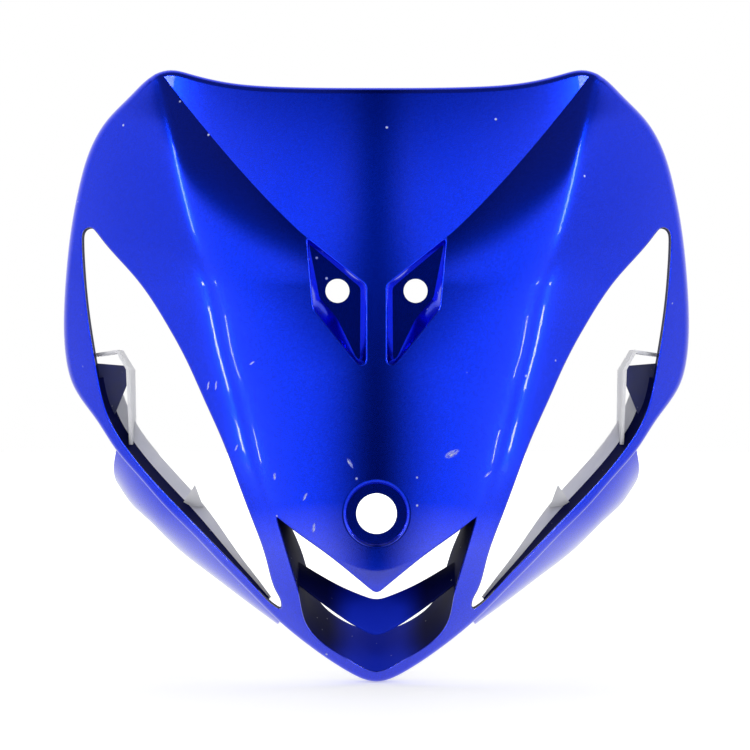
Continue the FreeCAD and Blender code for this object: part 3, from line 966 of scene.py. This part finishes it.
def make_brackets():
    """Lamp brackets, the dark webs that join them to the wings, and the lugs below them."""
    brackets = Moulding()
    for sign in (1.0, -1.0):
        outer = [Vector((x, 0.0, z)) for x, z in BRACKET]
        inner = [p + line_side(BRACKET, i, BRACKET_MIDDLE) * BRACKET_THICK for i, p in enumerate(outer)]
        section = outer + inner[::-1]
        rings = []
        for k in range(BRACKET_STEPS + 1):
            ring = []
            for p in section:
                y = wing_y(p.x, p.z) + BRACKET_SETBACK
                ring.append((sign * p.x, y + (BRACKET_REAR_Y - y) * k / BRACKET_STEPS, p.z))
            rings.append(ring)
        # The brackets take the pale colour, a painted reflection
        brackets.rings(rings, PALE_REFLECTION)
        # The lugs take the same pale painted reflection, the webs the dark inside plastic
        for plate, y, thick, finish in ((WEB, WEB_Y, WEB_THICK, BARE), (LUG, LUG_Y, LUG_THICK, PALE_REFLECTION)):
            brackets.rings([[(sign * x, y + d, z) for x, z in plate] for d in (0.0, thick)], finish)
    return brackets


# Finishes


def new_group(name, inputs, outputs):
    """Empty shader group with named sockets."""
    group = bpy.data.node_groups.new(name, "ShaderNodeTree")
    for label, kind, value in inputs:
        socket = group.interface.new_socket(name=label, in_out="INPUT", socket_type=kind)
        if value is not None:
            socket.default_value = value
    for label, kind in outputs:
        group.interface.new_socket(name=label, in_out="OUTPUT", socket_type=kind)
    return group, group.nodes.new("NodeGroupInput").outputs, group.nodes.new("NodeGroupOutput").inputs


def wear_group():
    """Fine dust specks and uneven polish of a handled moulding."""
    name = "Handling wear"
    if name in bpy.data.node_groups:
        return bpy.data.node_groups[name]
    inputs = [("Vector", "NodeSocketVector", None), ("Speck size", "NodeSocketFloat", 260.0),
              ("Speck share", "NodeSocketFloat", 0.06), ("Polish size", "NodeSocketFloat", 18.0)]
    outputs = [("Specks", "NodeSocketFloat"), ("Polish", "NodeSocketFloat")]
    group, come, go = new_group(name, inputs, outputs)
    cells = add(group, "ShaderNodeTexVoronoi", Vector=come["Vector"], Scale=come["Speck size"])
    near = ramp(group, cells.outputs["Distance"], 0.16, 0.05)
    pick = add(group, "ShaderNodeSeparateColor", Color=cells.outputs["Color"])
    few = calc(group, "LESS_THAN", pick.outputs["Red"], come["Speck share"])
    cloud = add(group, "ShaderNodeTexNoise", Vector=come["Vector"], Scale=come["Polish size"],
                Detail=6.0, Roughness=0.6)
    group.links.new(calc(group, "MULTIPLY", near, few), go["Specks"])
    group.links.new(cloud.outputs["Fac"], go["Polish"])
    return group


def scuff_group():
    """One scraped patch on the front: a streaky mask round a point of the front view."""
    name = "Scuff"
    if name in bpy.data.node_groups:
        return bpy.data.node_groups[name]
    inputs = [("Vector", "NodeSocketVector", None), ("Place", "NodeSocketVector", None),
              ("Turn", "NodeSocketFloat", 0.0), ("Length", "NodeSocketFloat", 0.004),
              ("Width", "NodeSocketFloat", 0.001)]
    group, come, go = new_group(name, inputs, [("Mask", "NodeSocketFloat")])
    local = vector(group, "SUBTRACT", come["Vector"], come["Place"])
    turned = add(group, "ShaderNodeVectorRotate", rotation_type="Y_AXIS", Vector=local, Angle=come["Turn"])
    turned = turned.outputs["Vector"]
    parts = axes(group, turned)
    along = calc(group, "DIVIDE", parts["X"], come["Length"])
    across = calc(group, "DIVIDE", parts["Z"], come["Width"])
    reach = add(group, "ShaderNodeCombineXYZ", X=along, Y=across).outputs["Vector"]
    body = ramp(group, vector(group, "LENGTH", reach), 1.0, 0.35)
    stretch = vector(group, "MULTIPLY", turned, (450.0, 450.0, 1900.0))
    streaks = add(group, "ShaderNodeTexNoise", Vector=stretch, Scale=1.0, Detail=3.0)
    broken = ramp(group, streaks.outputs["Fac"], 0.42, 0.6)
    group.links.new(calc(group, "MULTIPLY", body, broken), go["Mask"])
    return group


# Scuffs on the nose: x and z in millimetres, turn in degrees, half length, half width
SCUFFS = [
    (-113.0, 84.4, 75.0, 3.2, 0.9), (-107.6, 84.4, 80.0, 3.4, 0.9), (-93.6, 43.0, 60.0, 2.6, 0.8),
    (-82.8, 99.5, 30.0, 2.2, 0.7), (-67.7, 24.2, 85.0, 2.6, 1.2), (-47.3, 11.0, 60.0, 3.2, 1.0),
    (-41.5, -9.5, 80.0, 3.6, 1.3), (-17.5, 33.4, -60.0, 4.2, 1.3), (50.0, 39.4, 25.0, 5.6, 2.4),
    (73.8, 25.5, 40.0, 4.0, 0.8),
]


def new_material(name):
    material = bpy.data.materials.new(name)
    material.use_nodes = True
    tree = material.node_tree
    shader = tree.nodes["Principled BSDF"]
    place = tree.nodes.new("ShaderNodeTexCoord")
    return material, tree, shader, place.outputs["Object"]


def wear_node(tree, place, **values):
    return add(tree, "ShaderNodeGroup", node_tree=wear_group(), Vector=place, **values).outputs


def paint_material(colours):
    """Metallic blue paint under clear lacquer, with flakes, specks and scuffs."""
    name = "Metallic blue paint"
    if name in bpy.data.materials:
        return bpy.data.materials[name]
    material, tree, shader, place = new_material(name)
    flakes = add(tree, "ShaderNodeTexVoronoi", Vector=place, Scale=2600.0)
    pick = add(tree, "ShaderNodeSeparateColor", Color=flakes.outputs["Color"])
    colour = blend(tree, pick.outputs["Red"], colours.paint_deep, colours.paint)
    wear = wear_node(tree, place, Speck_size=150.0, Speck_share=0.035, Polish_size=14.0)
    worn = wear["Specks"]
    for x, z, turn, length, width in SCUFFS:
        spot = (x * MM, front_y(x, z) * MM, z * MM)
        scuff = add(tree, "ShaderNodeGroup", node_tree=scuff_group(), Vector=place, Place=spot,
                    Turn=math.radians(turn), Length=length * MM, Width=width * MM)
        worn = calc(tree, "MAXIMUM", worn, scuff.outputs["Mask"])
    rough = calc(tree, "MULTIPLY_ADD", worn, 0.35, ramp(tree, wear["Polish"], 0.0, 1.0, 0.2, 0.24))
    # Lacquer mirrors more at an angle and low on the panel, and is gone where worn
    facing = add(tree, "ShaderNodeLayerWeight", Blend=0.5).outputs["Facing"]
    turned = ramp(tree, facing, 0.05, 0.13, 0.07, 0.22)
    grazing = ramp(tree, facing, 0.5, 0.85, 0.0, 0.6)
    under = ramp(tree, axes(tree, place)["Z"], 0.01, -0.024)
    gloss = calc(tree, "MAXIMUM", calc(tree, "ADD", turned, grazing), under)
    coat = calc(tree, "MULTIPLY", gloss, ramp(tree, worn, 0.0, 1.0, 1.0, 0.1))
    bump = add(tree, "ShaderNodeBump", Strength=0.35, Distance=0.0003, Height=worn, invert=True)
    fill(tree, shader, Base_Color=blend(tree, worn, colour, colours.scuff), Roughness=rough,
         Metallic=ramp(tree, worn, 0.0, 1.0, 1.0, 0.0), Coat_Weight=coat, Coat_Roughness=0.03, Coat_IOR=1.65,
         Normal=bump.outputs["Normal"])
    return material


def bare_material(colours):
    """Moulded plastic of the inside with blue overspray."""
    name = "Inside plastic"
    if name in bpy.data.materials:
        return bpy.data.materials[name]
    material, tree, shader, place = new_material(name)
    wear = wear_node(tree, place, Speck_size=420.0, Speck_share=0.1, Polish_size=22.0)
    mist = ramp(tree, wear["Polish"], 0.35, 0.7)
    colour = blend(tree, mist, colours.inside, colours.overspray)
    grain = add(tree, "ShaderNodeTexNoise", Vector=place, Scale=1400.0, Detail=2.0)
    bump = add(tree, "ShaderNodeBump", Strength=0.12, Distance=0.0002, Height=grain.outputs["Fac"])
    fill(tree, shader, Base_Color=blend(tree, wear["Specks"], colour, colours.scuff),
         Roughness=ramp(tree, wear["Polish"], 0.0, 1.0, 0.34, 0.5), Specular_IOR_Level=0.5,
         Normal=bump.outputs["Normal"])
    return material


def thin_paint_and_shade_material(colours):
    """Thin paint on walls that the spray reached from the side, with painted shade that darkens it toward the
    sides of the mouth and on everything further out, such as the lamp returns.
    """
    name = "Thin paint"
    if name in bpy.data.materials:
        return bpy.data.materials[name]
    material, tree, shader, place = new_material(name)
    side = calc(tree, "ABSOLUTE", axes(tree, place)["X"])
    # Painted shade: the thin paint turns dark navy from 14 to 34 mm off the centre line and stays dark
    # further out
    side_shade = ramp(tree, side, 0.014, 0.034, smooth=True)
    wear = wear_node(tree, place, Speck_size=300.0, Speck_share=0.03, Polish_size=30.0)
    colour = blend(tree, side_shade, colours.thin_paint, colours.thin_paint_shade)
    fill(tree, shader, Base_Color=blend(tree, wear["Specks"], colour, colours.scuff),
         Roughness=ramp(tree, wear["Polish"], 0.0, 1.0, 0.45, 0.55), Specular_IOR_Level=0.02)
    return material


def pale_reflection_material(colours):
    """Bare plastic of the lamp seats and brackets, given a pale colour that paints in the white they reflect,
    with dusty patches; the subsurface part lets real light through.
    """
    name = "Pale painted reflection"
    if name in bpy.data.materials:
        return bpy.data.materials[name]
    material, tree, shader, place = new_material(name)
    wear = wear_node(tree, place, Speck_size=360.0, Speck_share=0.05, Polish_size=26.0)
    soiled = ramp(tree, wear["Polish"], 0.3, 0.75)
    # Painted reflection: the near-white base colour stands in for the white that the seats and brackets
    # reflect
    fill(tree, shader, Base_Color=blend(tree, soiled, colours.pale, colours.pale_soiled), Roughness=0.45,
         Subsurface_Weight=0.7, Subsurface_Radius=(1.0, 1.0, 1.0), Subsurface_Scale=0.012)
    return material


def all_finishes(colours):
    """The finishes in the order of PAINT, BARE, THIN_AND_SHADE and PALE_REFLECTION."""
    return [paint_material(colours), bare_material(colours), thin_paint_and_shade_material(colours), pale_reflection_material(colours)]


# Studio, in metres

# Floor under the panel: half width, front edge, rear edge, gap below the panel
FLOOR_SIDE = 5.0
FLOOR_FRONT = -0.45
FLOOR_REAR = 6.0
FLOOR_GAP = 0.0005
# Strip lights a metre off that draw the lines on the ridges: turn and tilt in degrees, width, height, power
STRIPS = [(58.0, -7.0, 0.012, 0.06, 0.1), (75.0, -9.0, 0.035, 0.04, 0.18), (64.5, 24.0, 0.07, 0.55, 1.9)]
# Height of the point that the strip lights aim at
AIM_Z = 0.09
# Place of the camera across the panel, and the width of its sensor in millimetres
CAMERA_X = -0.001
SENSOR_WIDTH = 36.0


def seen_straight(tree):
    """Output that is 1 for rays that show the background straight or through glass."""
    path = tree.nodes.new("ShaderNodeLightPath").outputs
    return calc(tree, "MAXIMUM", path["Is Camera Ray"], path["Is Transmission Ray"])


def make_world(stage):
    """White room that is dim in front of the panel, between two bright sides."""
    world = bpy.data.worlds.new("Studio")
    world.use_nodes = True
    tree = world.node_tree
    tree.nodes.clear()
    parts = axes(tree, tree.nodes.new("ShaderNodeTexCoord").outputs["Generated"])
    side = calc(tree, "ABSOLUTE", parts["X"])
    reach = ramp(tree, parts["Z"], 0.02, 0.36, 0.62, 0.15)
    rise = ramp(tree, side, 0.01, reach, stage.gap_light, stage.panel_light, True)
    fall = ramp(tree, side, 0.75, 0.98, smooth=True)
    height = ramp(tree, parts["Z"], 0.38, 0.56, 1.0, 0.15, True)
    front = calc(tree, "MULTIPLY", mix(tree, fall, rise, stage.side_light), height)
    behind = ramp(tree, parts["Y"], -0.02, 0.3, smooth=True)
    strength = mix(tree, seen_straight(tree), mix(tree, behind, front, stage.back_light), 1.0)
    light = add(tree, "ShaderNodeBackground", Color=(1.0, 1.0, 1.0, 1.0), Strength=strength)
    add(tree, "ShaderNodeOutputWorld", Surface=light.outputs["Background"])
    bpy.context.scene.world = world


def make_floor(stage):
    """Pale floor that fades into the white of the room and keeps the shadow."""
    mesh = bpy.data.meshes.new("floor")
    z = CAD_LOW.z - FLOOR_GAP
    corners = [(-FLOOR_SIDE, FLOOR_FRONT), (FLOOR_SIDE, FLOOR_FRONT), (FLOOR_SIDE, FLOOR_REAR),
               (-FLOOR_SIDE, FLOOR_REAR)]
    mesh.from_pydata([(x, y, z) for x, y in corners], [], [(0, 1, 2, 3)])
    floor = bpy.data.objects.new("floor", mesh)
    bpy.context.scene.collection.objects.link(floor)
    material, tree, shader, place = new_material("Pale floor")
    fade = ramp(tree, vector(tree, "LENGTH", place), 0.2, 1.4, 0.45, 1.0, True)
    shown = calc(tree, "MULTIPLY", fade, seen_straight(tree))
    glossy = tree.nodes.new("ShaderNodeLightPath").outputs["Is Glossy Ray"]
    fill(tree, shader, Base_Color=(0.8, 0.8, 0.8, 1.0), Roughness=0.7, Specular_IOR_Level=0.1,
         Emission_Color=(1.0, 1.0, 1.0, 1.0), Emission_Strength=mix(tree, glossy, shown, stage.floor_light))
    mesh.materials.append(material)


def make_lamp(name, place, target, size, energy):
    lamp = bpy.data.lights.new(name, "AREA")
    lamp.shape = "RECTANGLE"
    lamp.size, lamp.size_y = size
    lamp.energy = energy
    holder = bpy.data.objects.new(name, lamp)
    holder.location = place
    holder.rotation_mode = "QUATERNION"
    holder.rotation_quaternion = (Vector(target) - Vector(place)).to_track_quat("-Z", "Y")
    bpy.context.scene.collection.objects.link(holder)


def make_camera(stage):
    camera = bpy.data.cameras.new("camera")
    camera.lens = stage.lens
    camera.sensor_width = SENSOR_WIDTH
    holder = bpy.data.objects.new("camera", camera)
    holder.location = (CAMERA_X, -stage.distance, stage.eye_height)
    holder.rotation_euler = (math.pi / 2.0, 0.0, 0.0)
    bpy.context.scene.collection.objects.link(holder)
    bpy.context.scene.camera = holder


# Settings, operators and panel


class FairingSizes(bpy.types.PropertyGroup):
    wall: FloatProperty(name="Wall", description="Thickness of the moulded wall", default=0.0028,
                        unit="LENGTH")
    edge_wall: FloatProperty(name="Edge wall", description="Thickness of the returns and the tunnel",
                             default=0.0022, unit="LENGTH")
    return_depth: FloatProperty(name="Return", description="How far the edges turn back", default=0.018,
                                unit="LENGTH")
    edge_roll: FloatProperty(name="Edge roll", description="Rounding of the outer edge", default=0.004,
                             unit="LENGTH")
    lamp_roll: FloatProperty(name="Lamp edge roll", description="Rounding of the headlight openings",
                             default=0.0016, unit="LENGTH")
    lip_roll: FloatProperty(name="Lip roll", description="Rounding of the mouth and the pockets",
                            default=0.0012, unit="LENGTH")
    mesh_step: FloatProperty(name="Mesh step", description="Size of the triangles on the skin",
                             default=0.0036, unit="LENGTH")


class FairingColours(bpy.types.PropertyGroup):
    paint: FloatVectorProperty(name="Paint", description="Bright flakes of the paint", subtype="COLOR",
                               default=(0.003, 0.036, 0.85))
    paint_deep: FloatVectorProperty(name="Deep paint", description="Dark flakes of the paint",
                                    subtype="COLOR", default=(0.0015, 0.019, 0.6))
    scuff: FloatVectorProperty(name="Scuff", description="Scraped paint and dust", subtype="COLOR",
                               default=(0.62, 0.66, 0.8))
    inside: FloatVectorProperty(name="Inside", description="Bare plastic of the inside", subtype="COLOR",
                                default=(0.04, 0.045, 0.1))
    overspray: FloatVectorProperty(name="Overspray", description="Paint mist on the inside", subtype="COLOR",
                                   default=(0.02, 0.03, 0.22))
    thin_paint: FloatVectorProperty(name="Thin paint", description="Paint on the walls of the mouth",
                                    subtype="COLOR", default=(0.008, 0.026, 0.52))
    # Painted shade: the dark navy of the thin paint at the sides of the mouth, on the lamp returns and on the
    # seat faces
    thin_paint_shade: FloatVectorProperty(name="Painted shade at the sides", description="Thin paint darkened as painted shade",
                                   subtype="COLOR", default=(0.004, 0.006, 0.07))
    # Painted reflection: the near-white of the seats and brackets
    pale: FloatVectorProperty(name="Pale painted reflection", description="Painted reflection on the lamp seats", subtype="COLOR",
                              default=(0.9, 0.9, 0.93))
    pale_soiled: FloatVectorProperty(name="Soiled plastic", description="Dusty parts of the lamp seats",
                                     subtype="COLOR", default=(0.74, 0.75, 0.82))


class StageSettings(bpy.types.PropertyGroup):
    lens: FloatProperty(name="Lens", description="Focal length of the camera in millimetres", default=145.45)
    distance: FloatProperty(name="Distance", description="Camera to the badge hole", default=2.0,
                            unit="LENGTH")
    eye_height: FloatProperty(name="Eye height", description="Camera above the badge hole", default=0.0915,
                              unit="LENGTH")
    panel_light: FloatProperty(name="Panel light", description="Brightness of the screens beside the camera",
                               default=1.4)
    side_light: FloatProperty(name="Side light", description="Brightness of the room at the sides",
                              default=0.9)
    back_light: FloatProperty(name="Back light", description="Brightness of the room behind the panel",
                              default=1.1)
    floor_light: FloatProperty(name="Floor light", description="Brightness of the mirrored floor",
                               default=0.4)
    lamp_power: FloatProperty(name="Lamp power", description="Strength of the strip lights", default=1.0)
    gap_light: FloatProperty(name="Gap light", description="Brightness of the gap behind the camera",
                             default=0.01)


def settle(piece):
    """Puts a finished piece on the frame in place of the solid."""
    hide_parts(NODE)
    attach(piece, "root")


class FAIRING_OT_shell(bpy.types.Operator):
    """Makes the moulded shell with its openings"""
    bl_idname = "fairing.shell"
    bl_label = "Shell"

    def execute(self, context):
        scene = context.scene
        finishes = all_finishes(scene.fairing_colours)
        settle(make_shell(scene.fairing_sizes).build("fairing_shell", finishes, SHARP))
        return {"FINISHED"}


class FAIRING_OT_blade(bpy.types.Operator):
    """Makes the chevron blade in the mouth"""
    bl_idname = "fairing.blade"
    bl_label = "Mouth blade"

    def execute(self, context):
        scene = context.scene
        # The blade takes the thin paint, darkened by painted shade toward its ends
        settle(make_blade(thin_paint_and_shade_material(scene.fairing_colours)))
        return {"FINISHED"}


class FAIRING_OT_flanks(bpy.types.Operator):
    """Makes the lower flanks"""
    bl_idname = "fairing.flanks"
    bl_label = "Flanks"

    def execute(self, context):
        scene = context.scene
        finishes = [paint_material(scene.fairing_colours)]
        settle(make_flanks(scene.fairing_sizes).build("flanks", finishes, SHARP_SWEPT))
        return {"FINISHED"}


class FAIRING_OT_lamp_seats(bpy.types.Operator):
    """Makes the flanges that carry the headlights"""
    bl_idname = "fairing.lamp_seats"
    bl_label = "Lamp seats"

    def execute(self, context):
        scene = context.scene
        finishes = all_finishes(scene.fairing_colours)
        settle(make_lamp_seats().build("lamp_seats", finishes, SHARP))
        return {"FINISHED"}


class FAIRING_OT_brackets(bpy.types.Operator):
    """Makes the lamp brackets with their webs and lugs"""
    bl_idname = "fairing.brackets"
    bl_label = "Lamp brackets"

    def execute(self, context):
        scene = context.scene
        finishes = all_finishes(scene.fairing_colours)
        settle(make_brackets().build("lamp_brackets", finishes, SHARP))
        return {"FINISHED"}


class FAIRING_OT_stage(bpy.types.Operator):
    """Makes the floor, the lights and the camera"""
    bl_idname = "fairing.stage"
    bl_label = "Stage"

    def execute(self, context):
        stage = context.scene.fairing_stage
        context.scene.view_settings.view_transform = "Standard"
        make_world(stage)
        make_floor(stage)
        for turn, tilt, width, height, power in STRIPS:
            for side in (-1.0, 1.0):
                across = side * math.sin(math.radians(turn))
                place = (across, -math.cos(math.radians(turn)), AIM_Z + math.tan(math.radians(tilt)))
                make_lamp("strip light", place, (0.0, 0.0, AIM_Z), (width, height), power * stage.lamp_power)
        make_camera(stage)
        return {"FINISHED"}


OPERATORS = [FAIRING_OT_shell, FAIRING_OT_blade, FAIRING_OT_flanks, FAIRING_OT_lamp_seats,
             FAIRING_OT_brackets, FAIRING_OT_stage]


class FAIRING_PT_panel(bpy.types.Panel):
    """Sidebar panel of the fairing"""
    bl_idname = "FAIRING_PT_panel"
    bl_label = "Fairing"
    bl_space_type = "VIEW_3D"
    bl_region_type = "UI"
    bl_category = "Fairing"

    def draw(self, context):
        for group in ("fairing_sizes", "fairing_colours", "fairing_stage"):
            settings = getattr(context.scene, group)
            for key in settings.__annotations__:
                self.layout.prop(settings, key)
        for operator in OPERATORS:
            self.layout.operator(operator.bl_idname)


GROUPS = {"fairing_sizes": FairingSizes, "fairing_colours": FairingColours, "fairing_stage": StageSettings}


def register():
    for cls in [*GROUPS.values(), *OPERATORS, FAIRING_PT_panel]:
        bpy.utils.register_class(cls)
    for name, cls in GROUPS.items():
        setattr(bpy.types.Scene, name, PointerProperty(type=cls))


def unregister():
    for name in GROUPS:
        delattr(bpy.types.Scene, name)
    for cls in [FAIRING_PT_panel, *reversed(OPERATORS), *GROUPS.values()]:
        bpy.utils.unregister_class(cls)


def main():
    register()
    bpy.ops.fairing.shell()
    bpy.ops.fairing.blade()
    bpy.ops.fairing.flanks()
    bpy.ops.fairing.lamp_seats()
    bpy.ops.fairing.brackets()
    bpy.ops.fairing.stage()


if __name__ == "__main__":
    main()
